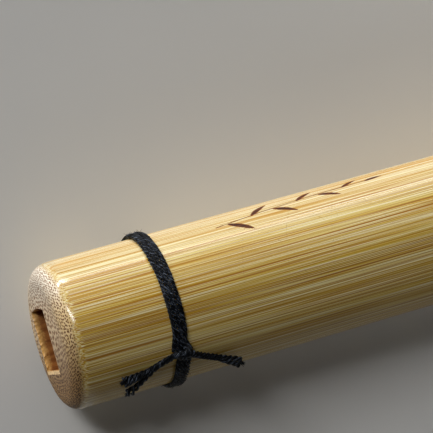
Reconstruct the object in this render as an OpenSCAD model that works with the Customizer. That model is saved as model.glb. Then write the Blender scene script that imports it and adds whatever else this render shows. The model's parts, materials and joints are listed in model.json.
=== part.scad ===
// Two-chamber bamboo flute with a plugged mouth end, a tied-on sound block and cord bindings.
// +X runs from the mouth end to the foot, and +Z points up through the finger holes.
// The origin is the centre of the foot bore's mouth, so the mouth end is at x = -flute_l.

/* [Culm] */
// Overall length of the flute
flute_l = 400; // [396:1:430]
// Outside diameter of the bamboo
culm_d = 25; // [24.8:0.1:26]
// Bore of the sound chamber, from the stopper to the foot
sound_bore_d = 18.4; // [17.8:0.1:18.6]
// Bore of the air chamber, from the mouth plug to the stopper
air_bore_d = 17.4; // [16.4:0.1:17.6]
// Radius of the sanded mouth end
mouth_round = 3; // [1.5:0.1:3.2]
// Radius of the sanded foot end
foot_round = 2; // [0.8:0.1:2.4]

/* [Mouth plug] */
// Diameter of the plug and of the seat reamed for it
plug_d = 18.4; // [18.1:0.1:18.6]
// Length of the plug that closes the mouth end
plug_l = 18; // [12:1:30]
// Width of the blowing slot, across the flute
slot_w = 10.7; // [8:0.1:10.8]
// Height of the blowing slot
slot_h = 8.3; // [5:0.1:8.4]
// Distance of the slot's middle below the flute's axis
slot_drop = 2.65; // [1.8:0.05:2.7]
// How far the slot's end wall on the +Y side bows outwards
slot_bow = 0.5; // [0.3:0.1:0.6]

/* [Voice] */
// Distance from the mouth end to the rear edge of the sound hole
voice_s = 136; // [130:1:140]
// Width of the flue, the air hole and the sound hole
flue_w = 8; // [6:0.5:8]
// Length of the sound hole, from its rear edge to the splitting edge
sound_hole_l = 5; // [4:0.5:6]
// Thickness of the spacer plate, which is the height of the flue
plate_t = 0.9; // [0.6:0.1:1.2]
// Length of the stopper between the two chambers
stopper_l = 13; // [10:1:15]

/* [Block] */
// Width of the sound block
block_w = 12.4; // [11:0.2:12.4]
// Height of the sound block
block_h = 11; // [10:0.5:13]
// Length of the sound block, without its two front prongs
block_l = 36; // [34:1:38]
// Number of cord turns that tie the block down
tie_turns = 4; // [3:1:4]

/* [Finger holes] */
// Diameter of the finger holes
finger_hole_d = 7.4; // [6:0.2:8]
// Distance between neighbouring holes of one hand
hole_pitch = 25; // [23:0.5:26]
// Distance from the mouth end to the first finger hole
first_hole_s = 222; // [215:1:224]

/* [Cord] */
// Diameter of the binding cord
cord_d = 1.3; // [1.1:0.05:1.4]
// Distance from each end of the flute to the middle of its binding
binding_s = 18.6; // [16:0.1:22]

/* [Hidden] */
$fn = 64;

culm_r = culm_d / 2;
nest_z = 10.6;                        // height of the flat nest above the axis
nest_rear_s = voice_s - 40;           // rear end of the nest's flat
nest_front_s = voice_s + 12;          // front end of the nest's flat
nest_ramp = 6;                        // length of the ramp at each end of the nest
air_hole_l = 8;                       // length of the hole that lets air out of the air chamber
air_hole_s = voice_s - 26;            // rear edge of that hole
stopper_front_s = voice_s - 2;        // the stopper's front face and the sound chamber's rear end
plate_rear_s = voice_s - 32;          // rear end of the spacer plate
plate_w = 12.8;                       // width of the spacer plate
block_rear_s = voice_s - block_l;     // rear end of the sound block
prong_l = 5;                          // length of the block's two front prongs
prong_h = 5;                          // height of those prongs
block_gap = 0.06;                     // sliding clearance under the block
tie_gap = 0.15;                       // clearance of the tie where it slides on the bamboo
waist_drop = 3;                       // depth of the waist that holds the tie
waist_room = 0.3;                     // room beside the tie in the waist
tie_wrap_gap = 0.02;                  // gap between the tie and the waist's rounded corners
waist_mid = 17;                       // distance from the block's rear end to its waist
block_corner = 3.6;                   // radius of the block's upper corners
block_z = nest_z + plate_t + block_gap;
tie_w = tie_turns * cord_d;
waist_half = tie_w / 2 + waist_room;  // half the length of the waist's level stretch
tie_mid_s = block_rear_s + waist_mid;
hand_gap = hole_pitch + 5;            // distance between the two hands' nearest holes
turn_pitch = cord_d * 0.99;           // neighbouring turns press into each other a little
turn_seat = 0.3 * cord_d;             // how far a turn's middle sits above the bamboo
seated_rise = turn_seat + cord_d / 2; // height of a turn's outside above the bamboo
knot_angle = -34;                     // angle of the knots from +Z; negative is towards -Y
knot_half_l = 0.9;                    // half the distance between the ends of a knot's strand
knot_lift = 0.5;                      // how far a knot's middle stands above the turns
knot_slant = 4;                       // angle by which each strand of a knot crosses the turns
knot_strand_d = 1.5 * cord_d;         // diameter of such a strand, doubled by its bight
knot_rho = culm_r + seated_rise + knot_lift; // distance of a binding's knot from the axis
foot_binding_s = flute_l - binding_s; // middle of the foot binding
tie_knot_angle = -96;                 // angle of the block tie's knot from +Z
tie_knot_rho = culm_r + tie_gap + cord_d + knot_lift; // distance of that knot from the axis
tie_valley = 0.7 * cord_d;            // thickness of the tie between its turns
tie_crest_w = 0.7 * cord_d;           // width of each turn's crest above that
tail_d = 0.9 * cord_d;                // diameter of a tail, which no turn presses flat
eps = 1;                              // how far a cutter runs past what it cuts
lap = 0.01;                           // how far a sloping cut laps over the cut beside it

bamboo_colour = [0.87, 0.78, 0.52];
plug_colour = [0.80, 0.68, 0.52];
block_colour = [0.47, 0.29, 0.16];
plate_colour = [0.70, 0.52, 0.32];
cord_colour = [0.05, 0.05, 0.06];

// Each tail is [distance along X from the knot, angle past the knot, distance from the axis].
tail_front = [
    [-0.7, 1, 14.4], [-1.6, 1, 14.2], [-2.5, -2, 13.6], [-3.8, -5.5, 13.3], [-5.2, -8.5, 13.3],
    [-6.6, -10.5, 13.3], [-8.0, -11.5, 13.4], [-9.7, -12, 13.5], [-11.4, -12.5, 13.6],
];
tail_rear = [
    [0.6, -0.5, 14.3], [2.2, -5, 13.8], [3.8, -10.5, 13.4], [5.3, -14.5, 13.3], [6.7, -18.5, 13.3],
    [8.0, -21, 13.7], [9.1, -22, 14.2], [10.1, -22.5, 14.8],
];
// The block tie is wider and higher, so its tails pass over its turns before they drop.
tie_tail_front = [
    [-1.2, 1, 15.1], [-2.4, 0, 15.0], [-3.7, -2, 14.7], [-4.9, -5, 14.1], [-6.2, -9, 13.7],
    [-7.8, -13, 13.5], [-9.4, -16, 13.6], [-11.0, -18, 13.8],
];
tie_tail_rear = [
    [1.2, -1, 15.1], [2.4, -3, 15.0], [3.7, -6, 14.7], [4.9, -10, 14.1], [6.2, -14, 13.7],
    [7.6, -17, 13.7], [8.8, -19, 14.0], [9.8, -20, 14.6],
];

// A point given by its distance from the mouth end, its angle from +Z and its distance from the axis.
function on_flute(s, angle, rho) = [s - flute_l, rho * sin(angle), rho * cos(angle)];

// The points of a tail that starts at a knot.
function tail_route(knot_s, knot_a, tail) =
    [for (p = tail) on_flute(knot_s + p[0], knot_a + p[1], p[2])];

function unit(v) = v / norm(v);

// Direction of a route at point i.
function heading(route, i) =
    unit(route[min(i + 1, len(route) - 1)] - route[max(i - 1, 0)]);

// One ring of a swept tube: points around the route at point i. No route runs along off_route.
function ring(route, i, r, sides) =
    let (
        off_route = [0.2, 0.1, 1],
        ahead = heading(route, i),
        side = unit(cross(ahead, off_route)),
        lift = cross(side, ahead)
    )
    [for (k = [0 : sides - 1]) route[i] + r * (cos(360 * k / sides) * side + sin(360 * k / sides) * lift)];

// A round cord swept along a route, closed at both ends.
module swept_cord(route, d, sides = 8) {
    n = len(route);
    points = [for (i = [0 : n - 1]) each ring(route, i, d / 2, sides)];
    walls = [
        for (i = [0 : n - 2], k = [0 : sides - 1])
            [
                i * sides + k,
                i * sides + (k + 1) % sides,
                (i + 1) * sides + (k + 1) % sides,
                (i + 1) * sides + k,
            ]
    ];
    rear_cap = [for (k = [sides - 1 : -1 : 0]) k];
    front_cap = [for (k = [0 : sides - 1]) (n - 1) * sides + k];
    polyhedron(points = points, faces = concat([rear_cap], walls, [front_cap]), convexity = 4);
}

// Children drawn with +Z along the flute's axis, moved to start at distance s from the mouth end.
module along_flute(s) {
    translate([s - flute_l, 0, 0])
        rotate([0, 90, 0])
            children();
}

// A box along the flute between two distances from the mouth end, centred on Y.
module flute_box(s0, s1, w, z0, z1) {
    translate([s0 - flute_l, -w / 2, z0])
        cube([s1 - s0, w, z1 - z0]);
}

// The bamboo's half section, with sanded ends: x is the radius and y runs from the mouth end.
module culm_section() {
    translate([0, mouth_round])
        square([culm_r, flute_l - mouth_round - foot_round]);
    square([culm_r - mouth_round, flute_l]);
    translate([0, flute_l - foot_round])
        square([culm_r - foot_round, foot_round]);
    translate([culm_r - mouth_round, mouth_round])
        circle(r = mouth_round);
    translate([culm_r - foot_round, flute_l - foot_round])
        circle(r = foot_round);
}

// The cutter that flattens the nest, with a ramp at each end.
module nest_cutter() {
    rise = culm_r + eps - nest_z;
    run = nest_ramp * rise / (culm_r - nest_z);
    translate([-flute_l, culm_r + eps, 0])
        rotate([90, 0, 0])
            linear_extrude(culm_d + 2 * eps)
                polygon([
                    [nest_rear_s, nest_z],
                    [nest_front_s, nest_z],
                    [nest_front_s + run, culm_r + eps],
                    [nest_rear_s - run, culm_r + eps],
                ]);
}

// The sloping cut in front of the sound hole that leaves the splitting edge.
module edge_cutter() {
    edge_s = voice_s + sound_hole_l;
    edge_drop = 1;
    edge_run = 7;
    translate([-flute_l, flue_w / 2, 0])
        rotate([90, 0, 0])
            linear_extrude(flue_w)
                polygon([
                    [edge_s - lap, nest_z - edge_drop],
                    [edge_s + edge_run, nest_z + lap],
                    [edge_s - lap, nest_z + lap],
                ]);
}

module finger_holes() {
    for (hand = [0, 1], finger = [0 : 2]) {
        s = first_hole_s + finger * hole_pitch + hand * (2 * hole_pitch + hand_gap);
        translate([s - flute_l, 0, 0])
            cylinder(d = finger_hole_d, h = culm_r + eps);
    }
}

module culm() {
    color(bamboo_colour)
        difference() {
            along_flute(0)
                rotate_extrude()
                    culm_section();
            along_flute(-eps)
                cylinder(d = air_bore_d, h = stopper_front_s + 2 * eps);
            along_flute(-eps)
                cylinder(d = plug_d, h = plug_l + eps);
            along_flute(stopper_front_s)
                cylinder(d = sound_bore_d, h = flute_l - stopper_front_s + eps);
            nest_cutter();
            flute_box(air_hole_s, air_hole_s + air_hole_l, flue_w, 0, culm_r);
            flute_box(voice_s, voice_s + sound_hole_l, flue_w, 0, culm_r);
            edge_cutter();
            finger_holes();
        }
}

// The blowing slot's outline in the plane of the mouth end: x is across the flute, y is up.
module slot_outline() {
    bow_r = (slot_h * slot_h / 4 + slot_bow * slot_bow) / (2 * slot_bow);
    flat_w = slot_w - slot_bow;
    translate([0, -slot_drop]) {
        translate([-slot_w / 2, -slot_h / 2])
            square([flat_w, slot_h]);
        intersection() {
            translate([slot_w / 2 - bow_r, 0])
                circle(r = bow_r, $fn = 128);
            translate([0, -slot_h / 2])
                square([slot_w, slot_h]);
        }
    }
}

module mouth_plug() {
    color(plug_colour)
        difference() {
            along_flute(0)
                cylinder(d = plug_d, h = plug_l);
            translate([-flute_l - eps, 0, 0])
                rotate([90, 0, 90])
                    linear_extrude(plug_l + 2 * eps)
                        slot_outline();
        }
}

module chamber_stopper() {
    color(plug_colour)
        along_flute(stopper_front_s - stopper_l)
            cylinder(d = air_bore_d, h = stopper_l);
}

module spacer_plate() {
    top_z = nest_z + plate_t;
    color(plate_colour)
        difference() {
            flute_box(plate_rear_s, voice_s + sound_hole_l, plate_w, nest_z, top_z);
            flute_box(air_hole_s, voice_s + sound_hole_l + eps, flue_w, nest_z - eps, top_z + eps);
        }
}

// The block seen from the side: x from its rear end, y from its foot. Round flares lead into the
// waist from both sides, and waist_cutter() clears the level stretch between them.
module block_side() {
    flare = 5;
    front_slope = [4, 3.5];
    rear_slope = [6, 5];
    prong_tip_h = 2;
    difference() {
        union() {
            polygon([
                [0, 0], [block_l, 0], [block_l, block_h - front_slope[1]],
                [block_l - front_slope[0], block_h], [rear_slope[0], block_h],
                [0, block_h - rear_slope[1]],
            ]);
            polygon([
                [block_l - eps, 0], [block_l + prong_l, 0],
                [block_l + prong_l, prong_tip_h], [block_l, prong_h], [block_l - eps, prong_h],
            ]);
        }
        for (side = [-1, 1])
            translate([waist_mid + side * waist_half, block_h - waist_drop + flare])
                circle(r = flare);
    }
}

// The block seen from its end: a flat foot, straight sides and rounded upper corners.
module block_end(h) {
    half = block_w / 2 - block_corner;
    translate([-block_w / 2, 0])
        square([block_w, h - block_corner]);
    translate([-half, 0])
        square([2 * half, h]);
    for (side = [-1, 1])
        translate([side * half, h - block_corner])
            circle(r = block_corner);
}

// The wood that the waist loses: its top, and its upper corners, so that the tie bends round them.
module waist_cutter() {
    translate([waist_mid - waist_half, 0, 0])
        rotate([90, 0, 90])
            linear_extrude(2 * waist_half)
                difference() {
                    translate([-block_w, 0])
                        square([2 * block_w, 2 * block_h]);
                    block_end(block_h - waist_drop);
                }
}

module sound_block() {
    color(block_colour)
        translate([block_rear_s - flute_l, 0, block_z])
            difference() {
                intersection() {
                    translate([0, block_w / 2, 0])
                        rotate([90, 0, 0])
                            linear_extrude(block_w)
                                block_side();
                    rotate([90, 0, 90])
                        linear_extrude(block_l + prong_l)
                            block_end(block_h);
                }
                waist_cutter();
                translate([block_l, -flue_w / 2, -eps])
                    cube([prong_l + eps, flue_w, block_h + 2 * eps]);
            }
}

// The line that the tie is pulled along, grown outwards: bamboo below, the block's waist above,
// and straight free runs between them that touch both rounds.
module tie_outline(grow) {
    corner = [block_w / 2 - block_corner, block_z + block_h - waist_drop - block_corner];
    low_r = culm_r + tie_gap + grow;
    high_r = block_corner + tie_wrap_gap + grow;
    lean = atan2(corner[1], corner[0]) - acos((low_r - high_r) / norm(corner));
    touch = [cos(lean), sin(lean)];
    circle(r = low_r);
    for (side = [0, 1])
        mirror([side, 0])
            union() {
                translate(corner)
                    circle(r = high_r);
                polygon([
                    [0, 0], low_r * touch, corner + high_r * touch,
                    corner + [0, high_r], [0, corner[1] + high_r],
                ]);
            }
}

// A flat band of the tie around distance s from the mouth end.
module tie_band(s, w, t) {
    translate([s - w / 2 - flute_l, 0, 0])
        rotate([90, 0, 90])
            linear_extrude(w)
                difference() {
                    tie_outline(t);
                    tie_outline(0);
                }
}

module block_tie() {
    color(cord_colour) {
        tie_band(tie_mid_s, tie_w, tie_valley);
        for (turn = [0 : tie_turns - 1])
            tie_band(tie_mid_s + (turn - (tie_turns - 1) / 2) * cord_d, tie_crest_w, cord_d);
    }
}

// Two turns of cord pulled tight on the bamboo, around distance s from the mouth end.
module binding_turns(s) {
    color(cord_colour)
        along_flute(s - turn_pitch)
            rotate_extrude()
                difference() {
                    for (turn = [0.5, 1.5])
                        translate([culm_r + turn_seat, turn * turn_pitch])
                            circle(d = cord_d);
                    square([culm_r, 2 * turn_pitch]);
                }
}

// One strand of a knot: a short rounded bar that crosses the turns, up or down by some degrees.
module knot_strand(s, angle, rho, slant) {
    hull()
        for (end = [-1, 1])
            translate(on_flute(s + end * knot_half_l, angle + end * slant, rho))
                sphere(d = knot_strand_d, $fn = 20);
}

// A small reef knot: two strands that cross over the turns.
module knot(s, angle, rho) {
    color(cord_colour)
        union() {
            knot_strand(s, angle, rho, knot_slant);
            knot_strand(s, angle, rho, -knot_slant);
        }
}

module tail(s, angle, route) {
    color(cord_colour)
        swept_cord(tail_route(s, angle, route), tail_d);
}

module mouth_binding() { binding_turns(binding_s); }
module mouth_binding_knot() { knot(binding_s, knot_angle, knot_rho); }
module mouth_binding_tail_front() { tail(binding_s, knot_angle, tail_front); }
module mouth_binding_tail_rear() { tail(binding_s, knot_angle, tail_rear); }

module foot_binding() { binding_turns(foot_binding_s); }
module foot_binding_knot() { knot(foot_binding_s, knot_angle, knot_rho); }
module foot_binding_tail_front() { tail(foot_binding_s, knot_angle, tail_front); }
module foot_binding_tail_rear() { tail(foot_binding_s, knot_angle, tail_rear); }

module block_tie_knot() { knot(tie_mid_s, tie_knot_angle, tie_knot_rho); }
module block_tie_tail_front() { tail(tie_mid_s, tie_knot_angle, tie_tail_front); }
module block_tie_tail_rear() { tail(tie_mid_s, tie_knot_angle, tie_tail_rear); }

culm();
mouth_plug();
chamber_stopper();
spacer_plate();
sound_block();
mouth_binding();
mouth_binding_knot();
mouth_binding_tail_front();
mouth_binding_tail_rear();
foot_binding();
foot_binding_knot();
foot_binding_tail_front();
foot_binding_tail_rear();
block_tie();
block_tie_knot();
block_tie_tail_front();
block_tie_tail_rear();
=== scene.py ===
# %% [markdown]
# # Dressing a bamboo flute
#
# A two-chamber bamboo flute is a tube with a plugged mouth end, a wooden block tied over a thin
# flue, and cord bindings that keep the bamboo from splitting. Its working shape is already made,
# as a CAD model. Here that model is loaded as a fixed frame, and nothing in it is moved: a finer
# mesh with the skin, grain, cord and wear of the real one takes the place of each piece.

import json
import math
import random

import bmesh
import bpy
from mathutils import Matrix, Vector
from mathutils import noise as wobble


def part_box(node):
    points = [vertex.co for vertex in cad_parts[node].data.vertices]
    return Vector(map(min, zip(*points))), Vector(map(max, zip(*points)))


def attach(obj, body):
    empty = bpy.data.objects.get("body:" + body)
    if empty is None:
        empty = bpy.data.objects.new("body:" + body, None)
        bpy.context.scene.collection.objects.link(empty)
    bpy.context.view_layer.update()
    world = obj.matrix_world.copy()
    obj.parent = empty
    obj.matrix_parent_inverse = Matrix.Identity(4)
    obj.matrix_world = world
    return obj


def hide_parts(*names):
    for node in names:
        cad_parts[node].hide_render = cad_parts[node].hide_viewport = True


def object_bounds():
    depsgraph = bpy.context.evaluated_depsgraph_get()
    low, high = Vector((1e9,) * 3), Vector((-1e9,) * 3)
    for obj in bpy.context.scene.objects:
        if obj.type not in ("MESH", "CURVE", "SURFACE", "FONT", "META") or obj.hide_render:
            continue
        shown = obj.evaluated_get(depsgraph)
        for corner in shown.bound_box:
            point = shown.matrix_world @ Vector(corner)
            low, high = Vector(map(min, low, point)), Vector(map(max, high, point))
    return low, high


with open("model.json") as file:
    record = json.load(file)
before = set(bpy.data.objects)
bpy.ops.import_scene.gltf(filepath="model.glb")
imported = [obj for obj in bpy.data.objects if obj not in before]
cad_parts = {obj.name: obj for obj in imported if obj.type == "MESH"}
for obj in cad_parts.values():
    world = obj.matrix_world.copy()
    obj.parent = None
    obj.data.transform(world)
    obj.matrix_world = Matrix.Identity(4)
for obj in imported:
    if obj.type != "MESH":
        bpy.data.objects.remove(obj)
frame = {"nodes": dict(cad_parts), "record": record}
cad_low, cad_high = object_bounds()
print("nodes:", len(frame["nodes"]))

# %% [markdown]
# ## Measures
#
# The main sizes come from the frame, so that the looks follow the CAD model if it changes. Distances
# along the flute are counted from the mouth end, and angles round it from the top, towards +Y.

# %% Read the flute's measures
MM = 0.001
culm_low, culm_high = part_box("culm")
plug_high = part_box("mouth_plug")[1]
stopper_low, stopper_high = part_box("chamber_stopper")
plate_low, plate_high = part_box("spacer_plate")
block_low, block_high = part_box("sound_block")

MOUTH = culm_low.x
CULM_R = culm_high.y
PLUG_R = plug_high.y
AIR_R = stopper_high.y
foot_bore = next(m for m in frame["record"]["mounts"] if m["name"] == "foot_bore")
SOUND_R = foot_bore["dims"]["r_mm"] * MM
SOUND_REAR = -foot_bore["dims"]["length_mm"] * MM
NEST_Z = plate_low.z
openings = {o["name"]: o["box_m"] for o in frame["record"]["physics"]["openings"]}


def on_flute(s, angle, rho):
    """The point at s millimetres from the mouth end, angle degrees from the top, rho from the axis."""
    a = math.radians(angle)
    return Vector((MOUTH + s * MM, rho * MM * math.sin(a), rho * MM * math.cos(a)))


print("culm radius, mm:", round(CULM_R / MM, 2), " length:", round((culm_high.x - MOUTH) / MM, 1))

# %% [markdown]
# ## Camera
#
# The camera looks down at the mouth end with a long lens, so that the tube's edges stay nearly
# parallel, and it is rolled so that the flute climbs to the right. Its turn is given as a matrix of
# three directions: right, up and backwards.

# %% Place the camera
def put_in_scene(name, data):
    """A new object with this mesh, lamp or camera, linked to the scene."""
    made = bpy.data.objects.new(name, data)
    bpy.context.scene.collection.objects.link(made)
    return made


CAMERA_FROM_MOUTH = Vector((-87.4, 12.2, 385.9)) * MM
CAMERA_TILT = 72.6
CAMERA_ROLL = 74.6
CAMERA_LENS = 199.5


def camera_turn(tilt, roll):
    """The turn of a camera that looks along +X, tilted down and rolled, in degrees."""
    tilt, roll = math.radians(tilt), math.radians(roll)
    forward = Vector((math.cos(tilt), 0, -math.sin(tilt)))
    level_right = Vector((0, -1, 0))
    level_up = level_right.cross(forward)
    right = math.cos(roll) * level_right + math.sin(roll) * level_up
    up = right.cross(forward)
    return Matrix((right, up, -forward)).transposed().to_4x4()


camera_data = bpy.data.cameras.new("camera")
camera_data.lens = CAMERA_LENS
camera_data.clip_start = 0.01
camera = put_in_scene("camera", camera_data)
mouth_centre = Vector((MOUTH, 0, 0))
camera_place = Matrix.Translation(mouth_centre + CAMERA_FROM_MOUTH)
camera.matrix_world = camera_place @ camera_turn(CAMERA_TILT, CAMERA_ROLL)
bpy.context.scene.camera = camera
print("camera at", [round(v, 3) for v in camera.location])

# %% [markdown]
# ## Shader maths
#
# A finish is mostly arithmetic on positions: how far along, how far out, how near a fibre. Node
# trees hide that arithmetic in boxes and links. A small class that wraps a socket lets it be
# written as plain expressions, and each operator adds its Math node behind the scenes.


# %% A socket that can be used like a number
def operator(operation, swapped=False):
    """The method of an operator. Swapped is for a plain number on its left side."""
    def method(self, other):
        return self.maths(operation, other, self) if swapped else self.maths(operation, self, other)
    return method


class Wire:
    """An output socket of a material's node tree, used like a number in an expression."""

    def __init__(self, tree, socket=None):
        self.tree = tree
        self.socket = socket

    def node(self, kind, settings=(), inputs=(), output=0):
        """Adds a node: its settings first, then the values or links of its sockets."""
        made = self.tree.nodes.new("ShaderNode" + kind)
        for name, value in dict(settings).items():
            if name == "stops":
                set_stops(made.color_ramp.elements, value)
            else:
                setattr(made, name, value)
        for name, value in dict(inputs).items():
            feed(made.inputs[name], value)
        return Wire(self.tree, made.outputs[output])

    def output(self, index):
        """Another output of the same node."""
        return Wire(self.tree, self.socket.node.outputs[index])

    def maths(self, operation, *values):
        return self.node("Math", {"operation": operation}, dict(enumerate(values)))

    def __abs__(self):
        return self.maths("ABSOLUTE", self)

    __add__ = __radd__ = operator("ADD")
    __mul__ = __rmul__ = operator("MULTIPLY")
    __sub__ = operator("SUBTRACT")
    __rsub__ = operator("SUBTRACT", swapped=True)
    __truediv__ = operator("DIVIDE")
    __pow__ = operator("POWER")


def feed(socket, value):
    """Links a wire to a socket, or gives the socket a plain value."""
    if isinstance(value, Wire):
        value.tree.links.new(value.socket, socket)
    else:
        socket.default_value = value


def set_stops(elements, stops):
    """Gives a colour ramp its stops, each a level and a colour."""
    while len(elements) < len(stops):
        elements.new(1)
    for element, (level, colour) in zip(elements, stops):
        element.position = level
        element.color = colour


print("operators ready: + - * / ** and abs")

# %% [markdown]
# ## Words for finishes
#
# A few words cover nearly every surface here: a colour from a swatch, a soft step between two
# values, a mix of two colours, and noise drawn out along the fibres.


# %% Helpers that finishes share
def tint(swatch):
    """The linear colour that Blender wants for a swatch such as d9c58a."""
    parts = [int(swatch[i:i + 2], 16) / 255 for i in (0, 2, 4)]
    return tuple(p / 12.92 if p <= 0.04045 else ((p + 0.055) / 1.055) ** 2.4 for p in parts) + (1,)


def step(value, low, high):
    """0 below low, 1 above high, and smooth between them. Low may be the larger one."""
    return value.node("MapRange", {"interpolation_type": "SMOOTHSTEP"},
                      {"Value": value, "From Min": low, "From Max": high})


def mix(share, first, second):
    """The first colour where share is 0, the second where it is 1. Either may be a swatch."""
    first, second = (tint(c) if isinstance(c, str) else c for c in (first, second))
    return share.node("Mix", {"data_type": "RGBA"}, {0: share, 6: first, 7: second}, output=2)


def stretch(point, x, y, z):
    return point.node("VectorMath", {"operation": "MULTIPLY"}, {0: point, 1: (x, y, z)})


def grain(point, scale, detail=2.0, rough=0.5):
    return point.node("TexNoise", {}, {"Vector": point, "Scale": scale, "Detail": detail, "Roughness": rough})


def streaks(point, run, scale, detail=2.0, rough=0.5):
    """Noise drawn out along the flute: the smaller run is, the longer its streaks."""
    return grain(stretch(point, run, 1, 1), scale, detail, rough)


def start_finish(name):
    """A new material, its shader, and the position in millimetres in the flute's frame."""
    finish = bpy.data.materials.new(name)
    finish.use_nodes = True
    shader = finish.node_tree.nodes["Principled BSDF"]
    place = Wire(finish.node_tree).node("TexCoord", output=3)
    point = place.node("VectorMath", {"operation": "SCALE"}, {0: place, 3: 1 / MM})
    return finish, shader, point


def plug_in(shader, **values):
    """Feeds the shader's sockets, with _ for a space in their names."""
    for name, value in values.items():
        feed(shader.inputs[name.replace("_", " ")], value)


def relief(height, distance, strength=1.0):
    return height.node("Bump", {}, {"Height": height, "Distance": distance * MM, "Strength": strength})


print("swatch test:", [round(v, 3) for v in tint("d9c58a")[:3]])

# %% [markdown]
# ## Bamboo
#
# Bamboo is a bundle of straight dark fibres in pale pith. Along the skin the fibres show as fine
# ochre lines under lacquer. Across a cut end the same fibres show as dots, crowded near the skin
# and sparse inside. Both come from one position, so lines and dots meet where they should, and the
# dots draw out into dashes where the sanded rounding cuts them at a slant. The skin is painted paler
# on the +Y side, a painted sheen.

# %% Where the skin is, and how the fibres look on it
MOUTH_ROUND = 3.0 * MM
SKIN_FADES_IN = (1.0, 2.2)
FOOT_SKIN_END = (culm_high.x - MOUTH) / MM - 1.0


def flute_places(point):
    """The distance from the mouth end, y, z and the distance from the axis, in millimetres."""
    parts = point.node("SeparateXYZ", inputs={0: point})
    y, z = parts.output(1), parts.output(2)
    return parts - MOUTH / MM, y, z, (y * y + z * z) ** 0.5


def skin_share(point, s):
    """1 on the skin and 0 on the sanded ends. Each fibre ends a little sooner or later."""
    fibres = streaks(point, 0.15, 2.6, 2)
    sanding = streaks(point, 0.2, 0.35, 1)
    ragged = fibres * 0.4 + sanding * 0.8 - 0.6
    mouth_side = step(s + ragged * 0.9, *SKIN_FADES_IN)
    foot_side = step(s + ragged * 0.7, FOOT_SKIN_END, FOOT_SKIN_END - 0.35)
    return mouth_side * foot_side


def line_share(point, scale, middle, width, run=0.0028):
    """Thin lines along the fibres, where a drawn-out noise crosses a value."""
    away = abs(streaks(point, run, scale, 0) - middle)
    return 1 - step(away, width * 0.3, width)


def skin_tones(point, y):
    """The skin's colour, how high its fibres stand and how pale they are."""
    broad = grain(stretch(point, 0.004, 0.16, 0.16), 1.0, 2)
    medium = streaks(point, 0.0035, 2.3, 2, 0.5)
    fine = streaks(point, 0.004, 7.4, 1, 0.6)
    level = medium * 0.22 + fine * 0.78
    colour = level.node("ValToRGB", {"stops": [
        (0.36, tint("b47e14")), (0.44, tint("cea232")), (0.50, tint("dabd5a")),
        (0.57, tint("e9d78e")), (0.66, tint("f5ecc8"))]}, {0: level})
    # Painted sheen: the +Y flank is painted paler, with more orange ochre lines, in place of glare on that
    # side.
    painted_sheen = step(y, 7.5, 13.2)
    colour = mix(painted_sheen * step(level, 0.40, 0.51) * 0.74, colour, "fbf5da")
    fading = step(grain(stretch(point, 0.02, 0.6, 0.6), 1.0, 2), 0.34, 0.56)
    coarse = line_share(point, 1.80, 0.46, 0.058) * fading
    close = line_share(point, 3.80, 0.55, 0.080) * (1 - fading * 0.4)
    ochre = coarse.maths("MAXIMUM", coarse, close * 0.8)
    pale = line_share(point, 3.00, 0.53, 0.045) * (1 - ochre)
    colour = mix(ochre * 0.90, colour, mix(painted_sheen, "a26606", "da9c14"))
    colour = mix(pale * 0.75, colour, "f8edc4")
    colour = mix(step(broad, 0.45, 0.70) * 0.22, colour, "c9a856")
    return colour, level * 0.6 + pale * 0.35 - ochre * 0.3, level


print("the skin fades in at", SKIN_FADES_IN, "mm from the mouth end")

# %% [markdown]
# The end grain is a Voronoi pattern in the plane across the tube. Its cells are squeezed together
# towards the skin by scaling the position with the distance from the axis, and each cell holds one
# dot: a fibre bundle. Dots near the skin are darker, because the bundles there are denser. The -Y
# side is painted darker, a painted shade, and the +Y side is painted paler, a painted highlight like
# the sheen on the skin there.


# %% How the cut ends look
DOTS_PER_MM = 0.82


def end_tones(point, y, z, r):
    """The colour of end grain and how high it stands."""
    crowd = 1.15 + 1.35 * (r / (CULM_R / MM)) ** 3
    flat = point.node("CombineXYZ", inputs={0: y * crowd, 1: z * crowd})
    drift = flat.node("TexNoise", {}, {"Vector": flat, "Scale": 0.8, "Detail": 1}, output=1)
    moved = flat.node("VectorMath", {"operation": "MULTIPLY_ADD"}, {0: drift, 1: (0.35, 0.35, 0), 2: flat})
    cells = moved.node("TexVoronoi", {"voronoi_dimensions": "2D"},
                       {"Vector": moved, "Scale": DOTS_PER_MM, "Randomness": 0.60})
    vary = grain(flat, 2.2, 1)
    outer = step(r, 7.0, 11.8)
    size = 0.29 + 0.12 * vary
    dot = 1 - step(cells, size * 0.75, size * 1.15)
    cloud = grain(flat, 0.35, 3)
    pith = mix(outer, "ecd0a8", "e8c890")
    pith = mix(step(cloud, 0.4, 0.7) * 0.3, pith, "f0dab8")
    bundle = mix(outer, "7c451a", "643510")
    # Painted shade: the -Y side of the end grain is painted darker.
    painted_shade = step(y, 4.0, -9.0)
    pith = mix(painted_shade * 0.88, pith, "8f6836")
    bundle = mix(painted_shade * 0.88, bundle, "361a07")
    # Painted highlight: the +Y side of the end grain is painted near white, in place of glare on the
    # rounding.
    painted_sheen = step(y, 3.0, 10.5)
    pith = mix(painted_sheen * 0.80, pith, "fcf6e8")
    bundle = mix(painted_sheen * 0.55, bundle, "b4865a")
    colour = mix(dot * 0.96, pith, bundle)
    fine = grain(flat, 9, 2)
    colour = mix(step(fine, 0.5, 0.8) * 0.15, colour, "8a6138")
    return colour, fine * 0.35 - dot * 0.8, dot


print("end grain: cells of", round(1 / DOTS_PER_MM, 2), "mm before they are squeezed together")

# %% [markdown]
# A small sprig of leaves is burnt into the flank with a hot point. It could be a picture laid on
# the skin, but strokes stay sharp at any distance: each leaf is a width that swells and tapers
# along a slanted line. They are drawn on the unrolled skin, so they wrap round the tube as a real
# burn would.

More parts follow.
